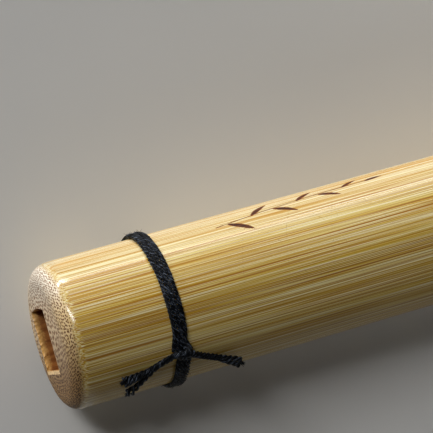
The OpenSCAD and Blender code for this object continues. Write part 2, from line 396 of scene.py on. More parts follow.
# %% Burnt leaves
SPRIG_S = 33.0
SPRIG_ANGLE = 58.0
LEAF_GAP = 4.3
LEAVES = 7
STEM_RISE = 0.075
STEM_WAVE = 0.45
STEM_BEND = 0.13


def stem_middle(run):
    """How far round the tube the stem lies at a run along it, both in millimetres."""
    return STEM_RISE * run + STEM_WAVE * math.sin(run * STEM_BEND)


def sprig_leaves():
    """Leaves on alternate sides and one at the tip: middle, turn, length and half width."""
    leaves = []
    for i in range(LEAVES):
        side = 1 if i % 2 else -1
        last = i == LEAVES - 1
        turn = math.radians(6 if last else side * (38 - 2.5 * i))
        length = 4.9 - 0.22 * i
        run = LEAF_GAP * i
        leaves.append((run + length / 2 * math.cos(turn), stem_middle(run) + length / 2 * math.sin(turn),
                       turn, length, 0.62 - 0.03 * i))
    return leaves


def leaf_share(along, around, turn, length, half):
    """How far inside a leaf a point lies, from its distances to the leaf's middle, in millimetres."""
    c, d = math.cos(turn), math.sin(turn)
    t = (along * c + around * d) / length + 0.5
    across = around * c - along * d + (t - 0.5) * (t - 0.5) * 0.7
    inside = t.maths("MAXIMUM", t.maths("MINIMUM", t, 1.0), 0.0)
    width = half * 2.3 * inside ** 0.6 * (1 - inside) ** 0.8
    return width - abs(across)


def sprig_depth(s, y, z):
    """How deep a point lies inside the burnt sprig, in millimetres; negative outside."""
    run = s - SPRIG_S
    around = y.maths("ARCTAN2", y, z) * (CULM_R / MM) - math.radians(SPRIG_ANGLE) * CULM_R / MM
    stem = around - run * STEM_RISE - run.maths("SINE", run * STEM_BEND) * STEM_WAVE
    on_stem = step(run, -3.0, -2.2) * step(run, LEAF_GAP * (LEAVES - 1) + 1.5, LEAF_GAP * (LEAVES - 1) + 0.5)
    deepest = 0.12 * on_stem - abs(stem) - (1 - on_stem) * 5
    for middle_run, middle_around, turn, length, half in sprig_leaves():
        leaf = leaf_share(run - middle_run, around - middle_around, turn, length, half)
        deepest = leaf.maths("MAXIMUM", deepest, leaf)
    return deepest


print("sprig:", LEAVES, "leaves from s =", SPRIG_S, "mm")

# %% [markdown]
# Finger holes in bamboo are burnt through with a hot iron, so each has a brown halo on the skin.
# The halo fades with the distance from the hole's rim, and one loop gives it to all the holes.

# %% Scorched halos round the holes
finger_holes = sorted(
    (box[0][0] + box[1][0]) / 2 / MM for name, box in openings.items() if name.startswith("finger_hole"))
HOLE_R_MM = 3.7


def halo_share(s, y, z):
    """1 at the rim of a finger hole, fading over a millimetre or so."""
    nearest = None
    for hole_x in finger_holes:
        away = s + (MOUTH / MM - hole_x)
        distance = (away * away + y * y) ** 0.5
        nearest = distance if nearest is None else distance.maths("MINIMUM", nearest, distance)
    return (1 - step(nearest, HOLE_R_MM, HOLE_R_MM + 1.7)) * step(z, 0.0, 1.0)


print("finger holes at", [round(h - MOUTH / MM, 1) for h in finger_holes], "mm from the mouth end")

# %% [markdown]
# Lacquer makes the skin shine and leaves the sanded ends half matt. A coat layer over a rougher
# base gives both: its weight follows the skin's mask, and it is heaviest where the lacquer has
# pooled, in a band on the rounding.


# %% The bamboo's finish
def make_bamboo():
    finish, shader, point = start_finish("lacquered_bamboo")
    s, y, z, r = flute_places(point)
    skin = skin_share(point, s)
    skin_colour, skin_height, level = skin_tones(point, y)
    end_colour, end_height, dot = end_tones(point, y, z, r)
    depth = sprig_depth(s, y, z)
    ragged = depth + (streaks(point, 0.3, 2.4, 3) - 0.5) * 0.22
    burnt = step(ragged, -0.03, 0.10)
    burn_colour = mix(step(ragged, 0.03, 0.30), "86400c", "3a1806")
    burn_colour = mix(step(level, 0.48, 0.60) * 0.60, burn_colour, "84481a")
    colour = mix(burnt, skin_colour, burn_colour)
    halo = halo_share(s, y, z)
    colour = mix(halo * (0.55 + 0.45 * level), colour, "5a3216")
    colour = mix(skin, end_colour, colour)
    pooled = step(s, 1.2, 1.7) * (1 - step(s, 2.7, 4.2))
    end_relief = end_height * (0.30 - pooled * 0.24)
    skin_relief = skin_height * 0.20 * (1 - pooled * 0.7) - burnt * 0.8
    height = end_relief * (1 - skin) + skin_relief * skin
    rough = 0.32 + burnt * skin * 0.35 + (1 - level) * 0.10 + (1 - skin) * (1 - pooled) * 0.22
    coat = (0.04 + skin * 0.11 + pooled * 0.70) * (1 - burnt)
    plug_in(shader, Base_Color=colour, Roughness=rough, Specular_IOR_Level=0.33, Coat_Weight=coat,
            Coat_Roughness=0.13, Normal=relief(height, 0.14, 0.9))
    return finish


bamboo = make_bamboo()
print("bamboo nodes:", len(bamboo.node_tree.nodes))

# %% [markdown]
# Where a tool has opened the tube, the skin is gone. Three more finishes cover that: the scraped
# wall of the bore, the pale flat of the nest, and the browned walls of burnt holes.


# %% Finishes for cut bamboo
def make_cut_bamboo(name, pale, dark, rough, soot=None):
    """Bamboo cut along its fibres, with brown dashes of fibre in pale pith."""
    finish, shader, point = start_finish(name)
    fibres = streaks(point, 0.03, 2.2, 3, 0.6)
    dashes = step(streaks(point, 0.05, 4.5, 1), 0.55, 0.68)
    colour = mix(step(fibres, 0.35, 0.65), dark, pale)
    colour = mix(dashes * 0.5, colour, "8f6233")
    if soot:
        colour = mix(step(grain(point, 0.55, 3), 0.35, 0.7) * 0.8, colour, soot)
    plug_in(shader, Base_Color=colour, Roughness=rough + fibres * 0.15,
            Normal=relief(fibres - dashes * 0.6, 0.06, 0.6))
    return finish


bore_wall = make_cut_bamboo("scraped_bore", "dcc698", "b8965c", 0.55)
nest_flat = make_cut_bamboo("planed_nest", "e3cb96", "c7a468", 0.42)
burnt_wall = make_cut_bamboo("burnt_hole_wall", "8a5a2c", "4e2d14", 0.6, soot="2b190d")
print("cut finishes:", bore_wall.name, nest_flat.name, burnt_wall.name)

# %% [markdown]
# ## Mesh helpers
#
# Nearly every piece here is rings of points with faces between them: the round pieces, which are
# spun about the flute's axis as on a lathe, the cutters and the cords. So one function makes the
# faces of them all. The tube gets a waviness of a few hundredths of a millimetre, because no culm
# is truly round, and a perfect cylinder's reflections look like plastic.


# %% Build meshes from points
AROUND = 180
LESS_WORN = 0.2
LESS_WORN_ANGLE = math.radians(-100)


def smooth(mesh, sharp):
    """Smooth shading, but for edges that turn by more than sharp degrees."""
    mesh.shade_smooth()
    mesh.set_sharp_from_angle(angle=math.radians(sharp))


def add_piece(name, points, faces, finishes, sharp=35):
    mesh = bpy.data.meshes.new(name)
    mesh.from_pydata(points, [], faces)
    mesh.validate()
    shape = bmesh.new()
    shape.from_mesh(mesh)
    bmesh.ops.recalc_face_normals(shape, faces=shape.faces)
    shape.to_mesh(mesh)
    shape.free()
    for finish in finishes:
        mesh.materials.append(finish)
    smooth(mesh, sharp)
    return put_in_scene(name, mesh)


def ring_faces(rings, around, looped=False):
    """Faces between rings of points. Looped joins the last to the first, or both are closed."""
    faces = []
    for i in range(rings if looped else rings - 1):
        here, next_ring = i * around, (i + 1) % rings * around
        for k in range(around):
            n = (k + 1) % around
            faces.append((here + k, here + n, next_ring + n, next_ring + k))
    if not looped:
        last = (rings - 1) * around
        faces += [tuple(range(around - 1, -1, -1)), tuple(range(last, last + around))]
    return faces


def arc(middle, radius, start, end, count):
    """Points of an arc in the plane of (distance along, radius), angles in degrees."""
    turns = [math.radians(start + (end - start) * i / count) for i in range(count + 1)]
    return [(middle[0] + radius * math.cos(a), middle[1] + radius * math.sin(a)) for a in turns]


def even_steps(start, end, longest):
    """Numbers from start to end, both included, no further apart than longest."""
    count = max(1, math.ceil(abs(end - start) / longest))
    return [start + (end - start) * i / count for i in range(count + 1)]


def worn(x, r, a):
    """The mouth's rounding at an angle. It is tighter on the -Y side, where it was sanded less."""
    if x < MOUTH + MOUTH_ROUND and r > CULM_R - MOUTH_ROUND:
        share = 1 - LESS_WORN * max(0.0, math.cos(a - LESS_WORN_ANGLE)) ** 2
        return MOUTH + (x - MOUTH) * share, CULM_R - (CULM_R - r) * share
    return x, r


def lathe(name, outline, finishes, looped=True, waviness=0.0):
    """Spins an outline of (distance along, radius), in metres, about the flute's axis."""
    points = []
    for outline_x, outline_r in outline:
        for k in range(AROUND):
            a = 2 * math.pi * k / AROUND
            x, r = worn(outline_x, outline_r, a)
            hollow = 0.5 + 0.5 * wobble.noise(Vector((x * 25, 2.1 * math.sin(a), 2.1 * math.cos(a))))
            wavy_r = r - waviness * hollow * max(0, (r - PLUG_R) / (CULM_R - PLUG_R))
            points.append((x, wavy_r * math.sin(a), wavy_r * math.cos(a)))
    return add_piece(name, points, ring_faces(len(outline), AROUND, looped), finishes)


def rod(name, start, end, radius, edge=0.0):
    """A round rod of bamboo along the flute's axis, with its two faces closed."""
    outline = [(start, radius - edge), (start + edge, radius), (end - edge, radius), (end, radius - edge)]
    return lathe(name, outline, [bamboo], looped=False)


def modify(piece, kind, sharp=35, **settings):
    """Applies one modifier to the piece, so that its mesh is final."""
    modifier = piece.modifiers.new(kind, kind)
    for name, value in settings.items():
        setattr(modifier, name, value)
    graph = bpy.context.evaluated_depsgraph_get()
    graph.update()
    final = bpy.data.meshes.new_from_object(piece.evaluated_get(graph))
    piece.modifiers.clear()
    piece.data = final
    smooth(final, sharp)


def cut(piece, cutter):
    """Takes cutter out of piece. The cut faces keep the cutter's finish."""
    modify(piece, "BOOLEAN", operation="DIFFERENCE", solver="EXACT", material_mode="TRANSFER",
           object=cutter)
    bpy.data.objects.remove(cutter)


print("helpers ready")

# %% [markdown]
# ## The culm
#
# The tube is one closed outline spun round: the flat end, the sanded rounding, the long skin, the
# foot, and back up through the bore with its step at the stopper and its seat for the plug. Fine
# steps in the roundings keep their highlight smooth.

# %% Turn the culm
FOOT_ROUND = 2.0 * MM
CULM_WAVE = 0.09 * MM
SKIN_STEP = 4 * MM
foot = culm_high.x

outside = arc((MOUTH + MOUTH_ROUND, CULM_R - MOUTH_ROUND), MOUTH_ROUND, 180, 90, 14)
outside += [(x, CULM_R) for x in even_steps(MOUTH + MOUTH_ROUND, foot - FOOT_ROUND, SKIN_STEP)[1:-1]]
outside += arc((foot - FOOT_ROUND, CULM_R - FOOT_ROUND), FOOT_ROUND, 90, 0, 10)
inside = [(x, SOUND_R) for x in even_steps(foot, SOUND_REAR, 4 * SKIN_STEP)]
inside += [(x, AIR_R) for x in even_steps(SOUND_REAR, plug_high.x, 4 * SKIN_STEP)]
inside += [(plug_high.x, PLUG_R), (MOUTH, PLUG_R)]
culm = lathe("bamboo_tube", outside + inside, [bamboo, bore_wall], waviness=CULM_WAVE)
for face in culm.data.polygons:
    ring = face.index // AROUND
    if len(outside) <= ring < len(outside) + len(inside) - 1:
        face.material_index = 1
print("culm faces:", len(culm.data.polygons))

# %% [markdown]
# The nest and the windows are taken out with boolean cutters. A hot iron leaves a rounded rim on a
# finger hole, and the rim follows the curve of the tube. So its cutter isn't a plain cylinder: it
# flares just below the skin, at a height that is worked out for each point round the hole.


# %% Cutters for the nest, the windows and the finger holes
CUTTER_ROOM = 2 * MM


def prism(name, side, half_width, finish):
    """A side view, as (x, z) points, pushed out to both sides of the middle plane."""
    count = len(side)
    points = [(x, w, z) for w in (-half_width, half_width) for x, z in side]
    faces = [tuple(range(count)), tuple(range(2 * count - 1, count - 1, -1))]
    faces += [(i, i + count, (i + 1) % count + count, (i + 1) % count) for i in range(count)]
    return add_piece(name, points, faces, [finish])


def hole_cutter(x, radius, flare, finish, around=48, steps=6):
    """A round cutter whose mouth flares where it meets the curved skin."""
    rings = [(radius, None)]
    for i in range(steps + 1):
        a = math.pi / 2 * i / steps
        rings.append((radius + flare * (1 - math.cos(a)), flare * (1 - math.sin(a))))
    rings.append((radius + flare * 1.3, -CUTTER_ROOM))
    points = []
    for ring_r, below in rings:
        for k in range(around):
            a = 2 * math.pi * k / around
            y = ring_r * math.sin(a)
            skin = math.sqrt(CULM_R ** 2 - y ** 2)
            z = CUTTER_ROOM if below is None else skin - below
            points.append((x + ring_r * math.cos(a), y, z))
    return add_piece("hole_cutter", points, ring_faces(len(rings), around), [finish])


def opening_span(name, room):
    """Start and end along X of an opening, grown by some room."""
    box = openings[name]
    return box[0][0] - room, box[1][0] + room


LOW, TOP = CUTTER_ROOM, CULM_R + CUTTER_ROOM
NEST_SLOPE = 6 * MM
NEST_HALF = 20 * MM
NEST_BEHIND_BLOCK = 4 * MM
NEST_BEFORE_PLATE = 7 * MM
EDGE_THICKNESS = 1 * MM
HOLE_FLARE = 0.45 * MM

slope = NEST_SLOPE * (TOP - NEST_Z) / (CULM_R - NEST_Z)
nest_start, nest_end = block_low.x - NEST_BEHIND_BLOCK, plate_high.x + NEST_BEFORE_PLATE
nest = [(nest_start, NEST_Z), (nest_end, NEST_Z), (nest_end + slope, TOP), (nest_start - slope, TOP)]
cut(culm, prism("nest_cutter", nest, NEST_HALF, nest_flat))

FLUE_HALF = openings["air_hole"][1][1] + 0.5 * MM
window_start, window_end = opening_span("sound_hole", 0.3 * MM)
cut(culm, prism("window_cutter", [
    (window_start, LOW), (window_end, LOW), (window_end, NEST_Z - EDGE_THICKNESS),
    (nest_end, NEST_Z), (nest_end, TOP), (window_start, TOP)], FLUE_HALF, nest_flat))
air_start, air_end = opening_span("air_hole", 0.5 * MM)
cut(culm, prism("air_cutter", [
    (air_start, LOW), (air_end, LOW), (air_end, TOP), (air_start, TOP)], FLUE_HALF, burnt_wall))
for hole_x in finger_holes:
    cut(culm, hole_cutter(hole_x * MM, HOLE_R_MM * MM, HOLE_FLARE, burnt_wall))
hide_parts("culm")
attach(culm, "flute")
print("culm faces after cutting:", len(culm.data.polygons))

# %% [markdown]
# ## The mouth plug
#
# The plug is bamboo too, so its face carries the same end grain. Its slot was burnt and chiselled:
# the walls are a waxed orange brown, the lower rim is chipped, and the end on the -Y side has a
# pale ledge. The walls carry painted shade, darker deeper in and towards the +Y end, and a pale band
# at the rim is a painted highlight. The cutter's outline is wobbled where it opens, and stays true
# further in.

# %% Where the slot is
slot_low, slot_high = openings["mouth_slot"]
SLOT_Y = (slot_low[1] - 0.15 * MM, slot_high[1] + 0.15 * MM)
SLOT_Z = (slot_low[2] - 0.2 * MM, slot_high[2] + 0.15 * MM)
SLOT_BOW = 0.5 * MM
LEDGE_MM = 0.45
print("slot, mm:", [round((b - a) / MM, 1) for a, b in (SLOT_Y, SLOT_Z)])


# %% Finish for the slot's walls
def make_slot_wall():
    finish, shader, point = start_finish("waxed_slot_wall")
    s, y, z, r = flute_places(point)
    streak = streaks(point, 0.10, 1.3, 3, 0.6)
    nicks = grain(point, 1.7, 3, 0.6)
    waxed = mix(step(streak, 0.32, 0.68), "7c4414", "a86a2c")
    # Painted highlight: a ragged pale band at the opening stands in for the light that the chipped rim
    # catches.
    colour = mix(step(s + (nicks - 0.5) * 1.6, 0.2, 1.3), "dca85c", waxed)
    # Painted shade: the walls are painted darker towards the +Y end and deeper into the slot.
    colour = mix(step(y, 0.8, 4.4) * 0.25, colour, "361a08")
    colour = mix(step(s, 4.0, 12.0) * 0.80, colour, "341a09")
    end_colour, _, dot = end_tones(point, y, z, r)
    ledge = step(s, LEDGE_MM + 0.1, LEDGE_MM) * step(y, SLOT_Y[0] / MM + 0.12, SLOT_Y[0] / MM - 0.03)
    colour = mix(ledge, colour, mix(dot * 0.4, "e0bf8c", end_colour))
    plug_in(shader, Base_Color=colour, Roughness=0.40 + streak * 0.2,
            Normal=relief(streak + nicks * 0.6, 0.08, 0.6))
    return finish


slot_wall = make_slot_wall()
print("slot finish:", slot_wall.name)

# %% Turn the plug and cut its slot
def slot_outline(grow, chip, ledge, count=64):
    """Points round the slot: chipped along the lower side, bowed at +Y and with a ledge at -Y."""
    y0, y1 = SLOT_Y[0] - grow - ledge, SLOT_Y[1] + grow
    z0, z1 = SLOT_Z[0] - grow, SLOT_Z[1] + grow
    shares = [i / count for i in range(count)]

    def rough(t, row, size):
        big, small = wobble.noise(Vector((t * 19, row, 0.5))), wobble.noise(Vector((t * 43, row, 3.5)))
        return size * (big + 0.5 * small)

    lower = [(y0 + (y1 - y0) * t, z0 - chip * 0.4 + rough(t, 0.3, chip)) for t in shares]
    bowed = [(y1 + SLOT_BOW * math.sin(math.pi * t) + rough(t, 4.3, 0.1 * chip), z0 + (z1 - z0) * t)
             for t in shares]
    upper = [(y1 - (y1 - y0) * t, z1 + rough(t, 9.3, 0.15 * chip)) for t in shares]
    ledged = [(y0 + rough(t, 7.3, 0.2 * chip), z1 - (z1 - z0) * t) for t in shares]
    return lower + bowed + upper + ledged


def slot_cutter(finish):
    """The slot's outline carried into the plug. Rows: depth, growth, chips, ledge, in millimetres."""
    depths = [(-1.0, 0.12, 0.34, LEDGE_MM), (0.0, 0.08, 0.34, LEDGE_MM), (0.10, 0.02, 0.26, LEDGE_MM * 0.85),
              (0.30, 0.0, 0.08, LEDGE_MM * 0.4), (LEDGE_MM, 0.0, 0.03, 0.0), (1.0, 0, 0, 0), (19.0, 0, 0, 0)]
    points = []
    for depth, grow, chip, ledge in depths:
        points += [(MOUTH + depth * MM, y, z) for y, z in slot_outline(grow * MM, chip * MM, ledge * MM)]
    faces = ring_faces(len(depths), len(points) // len(depths))
    return add_piece("slot_cutter", points, faces, [finish])


plug = rod("slotted_mouth_plug", MOUTH, plug_high.x, PLUG_R - 0.004 * MM)
cut(plug, slot_cutter(slot_wall))
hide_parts("mouth_plug")
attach(plug, "flute")
print("plug faces:", len(plug.data.polygons))

# %% [markdown]
# ## The stopper
#
# A bamboo disc is glued into the bore between the two chambers. It can only be seen through the
# windows, so a turned rod with broken edges is enough.

# %% Turn the stopper
stopper = rod("chamber_wall", stopper_low.x, stopper_high.x, AIR_R - 0.02 * MM, edge=0.3 * MM)
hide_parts("chamber_stopper")
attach(stopper, "flute")
print("stopper length, mm:", round((stopper_high.x - stopper_low.x) / MM, 1))

# %% [markdown]
# ## Woods
#
# The block is a dark close-grained wood, oiled by hands, and the plate under it is a thin pale
# veneer. Wood grain is rings seen from the side. The distance from a far-off pith, disturbed by
# noise that is drawn out along the tree, gives the rings, and short dark dashes give the pores.


# %% The wood finishes
def make_wood(name, pale, mid, dark, pith, ring_mm, shine):
    finish, shader, point = start_finish(name)
    drift = grain(stretch(point, 0.03, 0.16, 0.16), 1.0, 3, 0.55)
    moved = point.node("VectorMath", {"operation": "ADD"}, {0: point, 1: pith})
    from_pith = flute_places(moved)[3]
    rings = from_pith / ring_mm + drift * 3.2
    ring = rings.maths("FRACT", rings)
    early = step(ring, 0.0, 0.75) * (1 - step(ring, 0.86, 1.0))
    fibre = streaks(point, 0.06, 3.0, 3, 0.6)
    pores = step(streaks(point, 0.10, 5.0, 1), 0.60, 0.68)
    colour = mix(early, pale, mid)
    colour = mix(step(fibre, 0.35, 0.7) * 0.55, colour, dark)
    colour = mix(pores * 0.6, colour, "1d100a")
    height = fibre * 0.4 - pores * 0.7 - early * 0.1
    plug_in(shader, Base_Color=colour, Roughness=shine + fibre * 0.16 + pores * 0.1,
            Normal=relief(height, 0.06, 0.55))
    return finish


block_wood = make_wood("oiled_walnut", "7d5233", "5a3620", "3a2114", (3.0, 14.0, 22.0), 1.9, 0.34)
plate_wood = make_wood("pale_veneer", "d2a66e", "bb8850", "8f6238", (0.0, 30.0, -6.0), 1.4, 0.48)
print("woods:", block_wood.name, plate_wood.name)

# %% [markdown]
# ## Block and plate
#
# The CAD shapes of these two are right, but their edges are knife sharp, and sharp edges catch no
# light. So each gets a copy of its CAD mesh with the flat faces merged and the edges broken by a
# narrow bevel, as fine sandpaper would.


# %% Break the edges of the block and the plate
def broken_edges(node, name, finish, edge):
    mesh = frame["nodes"][node].data.copy()
    mesh.materials.clear()
    mesh.materials.append(finish)
    shape = bmesh.new()
    shape.from_mesh(mesh)
    bmesh.ops.remove_doubles(shape, verts=shape.verts, dist=0.001 * MM)
    bmesh.ops.dissolve_limit(shape, angle_limit=math.radians(0.8), verts=shape.verts, edges=shape.edges)
    shape.to_mesh(mesh)
    shape.free()
    piece = put_in_scene(name, mesh)
    modify(piece, "BEVEL", sharp=40, width=edge, segments=3, limit_method="ANGLE",
           angle_limit=math.radians(35))
    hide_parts(node)
    return piece


block = broken_edges("sound_block", "carved_sound_block", block_wood, 0.45 * MM)
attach(block, "voicing_block")
plate = broken_edges("spacer_plate", "flue_plate", plate_wood, 0.10 * MM)
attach(plate, "flute")
print("block faces:", len(block.data.polygons), " plate faces:", len(plate.data.polygons))

# %% [markdown]
# ## Black cord
#
# The cord is waxed black cotton. Where it is free it keeps its round lay of four strands. In the
# end bindings it is pulled so tight that it lies flat, and there it gets a flatter lay of six finer
# strands. Each strand is a bundle of fibres with a twist of its own, so the finish needs to know how
# far along and how far round its strand a point lies. The mesh stores that as an attribute, and the
# finish stretches its noise along it.


# %% The cord's finish
def make_cord_finish():
    finish, shader, point = start_finish("waxed_black_cord")
    lay = point.node("Attribute", {"attribute_name": "fibre_lay"}, output=1)
    fibre = grain(stretch(lay, 1, 1, 0.08), 8.0, 2, 0.6)
    # Painted glints: bluish grey flecks along the strands stand in for highlights on their crests.
    painted_glints = step(grain(stretch(lay, 1, 1, 0.3), 3.0, 2), 0.57, 0.62)
    colour = mix(step(fibre, 0.35, 0.7), "040507", "10141a")
    colour = mix(painted_glints * 0.75, colour, "687282")
    plug_in(shader, Base_Color=colour, Roughness=0.28 + fibre * 0.30, Specular_IOR_Level=0.16,
            Normal=relief(fibre, 0.12, 1.0))
    return finish


cord_finish = make_cord_finish()
print("cord finish:", cord_finish.name)

# %% [markdown]
# A cord is made of tubes. A strand is a tube whose middle spirals round the cord's own line, and a
# frayed fibre is a very thin one. One class collects tubes into a mesh, with the fibre attribute.


# %% Tubes, strands and fibres
CORD_D = 1.3 * MM
ROUTE_STEP = 0.22 * MM
ROUND_LAY = {"strands": 4, "pitch": 3.5 * MM, "off": 0.40 * MM, "radius": 0.335 * MM, "sides": 8}
FLAT_LAY = {"strands": 6, "pitch": 5.2 * MM, "off": 0.57 * MM, "radius": 0.215 * MM, "sides": 6}


class Cordage:
    """Collects tubes and turns them into one piece."""

    def __init__(self, seed):
        self.points, self.faces, self.lay = [], [], []
        self.draw = random.Random(seed)

    def tube(self, middles, sides_and_ups, radii, twist=0.0, sides=8):
        """One tube through the middles. Each side and up direction spans its ring."""
        first = len(self.points)
        start = self.draw.random() * 50
        run = 0.0
        for i, (middle, (side, up), radius) in enumerate(zip(middles, sides_and_ups, radii)):
            run += (middle - middles[i - 1]).length if i else 0
            for k in range(sides):
                a = 2 * math.pi * k / sides
                self.points.append(middle + radius * (math.cos(a) * side + math.sin(a) * up))
                b = a + twist * run
                self.lay.append((math.cos(b) * 0.35, math.sin(b) * 0.35, run / MM + start))
        self.faces += [tuple(first + v for v in face) for face in ring_faces(len(middles), sides)]

    def rope(self, route, outward, flat=0.72, size=1.0, lay=ROUND_LAY, strands=None, phase=0.0, splay=None):
        """A twisted cord along a route, squeezed flat in its outward directions."""
        frames, runs = frames_along(route, outward)
        strands = strands or lay["strands"]
        for strand in range(strands):
            middles, spans, radii = [], [], []
            for i, (point, (side, up)) in enumerate(zip(route, frames)):
                a = phase + 2 * math.pi * (strand / strands + runs[i] / lay["pitch"])
                open_by = 1.0 if splay is None else splay(i / (len(route) - 1))
                run = runs[i] / MM
                off = lay["off"] * size * open_by * (1 + 0.05 * math.sin(run * 1.7 + strand * 2.4))
                middles.append(point + off * (math.cos(a) * side + flat * math.sin(a) * up))
                spans.append((side, flat * up))
                swell = 1 + 0.35 * max(0.0, open_by - 1)
                radii.append(lay["radius"] * size * swell * (1 + 0.06 * math.sin(run * 2.3 + strand)))
            radii[0] *= 0.6
            radii[-1] *= 0.6
            self.tube(middles, spans, radii, twist=-1.9 / MM, sides=lay["sides"])

    def fray(self, tip, ahead, up, count, length, spread):
        """A brush of fibres at a cut end."""
        side, draw = ahead.cross(up).normalized(), self.draw
        for _ in range(count):
            lean = spread * (draw.random() * 2 - 1)
            lift = spread * (draw.random() * 2 - 1) * 0.6
            way = (ahead + lean * side + lift * up).normalized()
            start = tip + (draw.uniform(-0.3, 0.3) * side + draw.uniform(-0.2, 0.2) * up) * MM
            reach = length * draw.uniform(0.5, 1.1)
            bend = (draw.uniform(-0.3, 0.3) * side + draw.uniform(-0.25, 0.2) * up) * reach
            self.fibre([start - way * reach * 0.3, start + way * reach * 0.35, start + way * reach + bend],
                       draw.uniform(0.03, 0.06) * MM)

    def fibre(self, route, radius):
        smooth = curve_through(route, reach=0.25 * MM)
        frames, _ = frames_along(smooth, [Vector((0.3, 0.2, 1))] * len(smooth))
        count = len(smooth) - 1
        self.tube(smooth, frames, [radius * (1 - 0.75 * (i / count)) for i in range(count + 1)], sides=5)

    def piece(self, name, node):
        made = add_piece(name, self.points, self.faces, [cord_finish], sharp=70)
        lay = made.data.attributes.new("fibre_lay", "FLOAT_VECTOR", "POINT")
        lay.data.foreach_set("vector", [v for triple in self.lay for v in triple])
        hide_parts(node)
        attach(made, "voicing_block" if node.startswith("block_tie") else "flute")


def frames_along(route, outward):
    """For each point of a route: the directions across it and outwards, and the run so far."""
    frames, runs, run = [], [], 0.0
    for i, point in enumerate(route):
        ahead = (route[min(i + 1, len(route) - 1)] - route[max(i - 1, 0)]).normalized()
        side = ahead.cross(outward[i]).normalized()
        frames.append((side, side.cross(ahead)))
        run += (point - route[i - 1]).length if i else 0
        runs.append(run)
    return frames, runs


def curve_through(points, reach=ROUTE_STEP):
    """A smooth route through the points, with a point about every reach."""
    route = []
    ends = [2 * points[0] - points[1]] + list(points) + [2 * points[-1] - points[-2]]
    for i in range(1, len(ends) - 2):
        p0, p1, p2, p3 = ends[i - 1:i + 3]
        count = max(2, round((p2 - p1).length / reach))
        for k in range(count):
            t = k / count
            route.append(0.5 * (2 * p1 + (p2 - p0) * t + (2 * p0 - 5 * p1 + 4 * p2 - p3) * t * t
                                + (3 * p1 - p0 - 3 * p2 + p3) * t ** 3))
    return route + [points[-1]]


def away_from_axis(point):
    return Vector((0, point.y, point.z)).normalized()


print("strand pitch, mm:", ROUND_LAY["pitch"] / MM, "and", FLAT_LAY["pitch"] / MM)

# %% [markdown]
# ## Turns
#
# Turns are wound level and step over to the next place in one short stretch, which the knot hides.
# The same loop winds a binding on the round bamboo and the tie over the block, because both are
# given as a closed outline of points with their outward directions.


# %% Wind turns on an outline
WAIST_CORNER_R = 3.6 * MM
WAIST_GAP = 0.02 * MM
TIE_GAP = 0.15 * MM
STEP_OVER = 0.05


def round_outline(radius, start_angle, count=420):
    """A circle about the axis, as (y, z) points and outward directions."""
    angles = [math.radians(start_angle + 360 * i / count) for i in range(count)]
    return [(radius * math.sin(a), radius * math.cos(a), math.sin(a), math.cos(a)) for a in angles]


def tie_outline(rise, start_angle):
    """The tie's line: under the bamboo, straight up to the block's waist, over it and back."""
    waist_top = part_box("block_tie")[1].z - CORD_D - WAIST_GAP
    corner_y, corner_z = block_high.y - WAIST_CORNER_R, waist_top - WAIST_CORNER_R
    low_r = CULM_R + TIE_GAP + rise
    high_r = WAIST_CORNER_R + WAIST_GAP + rise
    lean = math.atan2(corner_z, corner_y) - math.acos((low_r - high_r) / math.hypot(corner_y, corner_z))
    line = []
    for middle_y, middle_z, r, start, end in (
            (corner_y, corner_z, high_r, lean, math.pi / 2),
            (-corner_y, corner_z, high_r, math.pi / 2, math.pi - lean),
            (0, 0, low_r, math.pi - lean, 2 * math.pi + lean)):
        for a in even_steps(start, end, ROUTE_STEP / r):
            here = (middle_y + r * math.cos(a), middle_z + r * math.sin(a), math.cos(a), math.sin(a))
            if line:
                gap = math.hypot(here[0] - line[-1][0], here[1] - line[-1][1])
                for t in even_steps(0, 1, ROUTE_STEP / max(gap, 0.01 * MM))[1:-1]:
                    line.append(tuple(p + (q - p) * t for p, q in zip(line[-1], here)))
            line.append(here)
    a = math.radians(start_angle)
    nearest = max(range(len(line)), key=lambda i: line[i][2] * math.sin(a) + line[i][3] * math.cos(a))
    return line[nearest:] + line[:nearest]


def wind(cordage, outline, middle_x, turns, spacing, flat, lay):
    """Winds level turns on an outline. The cord steps over at the start and end of each turn."""
    route, outward = [], []
    count = len(outline)
    for i in range(turns * count + 1):
        turn, at = divmod(i, count)
        late = max(0.0, (at / count - (1 - STEP_OVER)) / STEP_OVER)
        early = max(0.0, 1 - (at / count) / STEP_OVER)
        shift = 0.5 * (late * late * (3 - 2 * late)) - 0.5 * (early * early * (3 - 2 * early))
        y, z, oy, oz = outline[at]
        x = middle_x + (min(turn, turns - 1) + shift - (turns - 1) / 2) * spacing
        if i == turns * count:
            x = middle_x + (turns / 2) * spacing
        route.append(Vector((x, y, z)))
        outward.append(Vector((0, oy, oz)))
    cordage.rope(route, outward, flat=flat, lay=lay)
    return route


print("outline of the tie:", len(tie_outline(0, 0)), "points")

# %% [markdown]
# ## Knots and tails
#
# The two ends of the cord cross over the turns, tuck under a bight and come out on opposite sides.
# Their routes are listed points, given from the knot: along the flute, round it in degrees,
# and out from the axis. The tails lie on the bamboo and fray where they were cut.

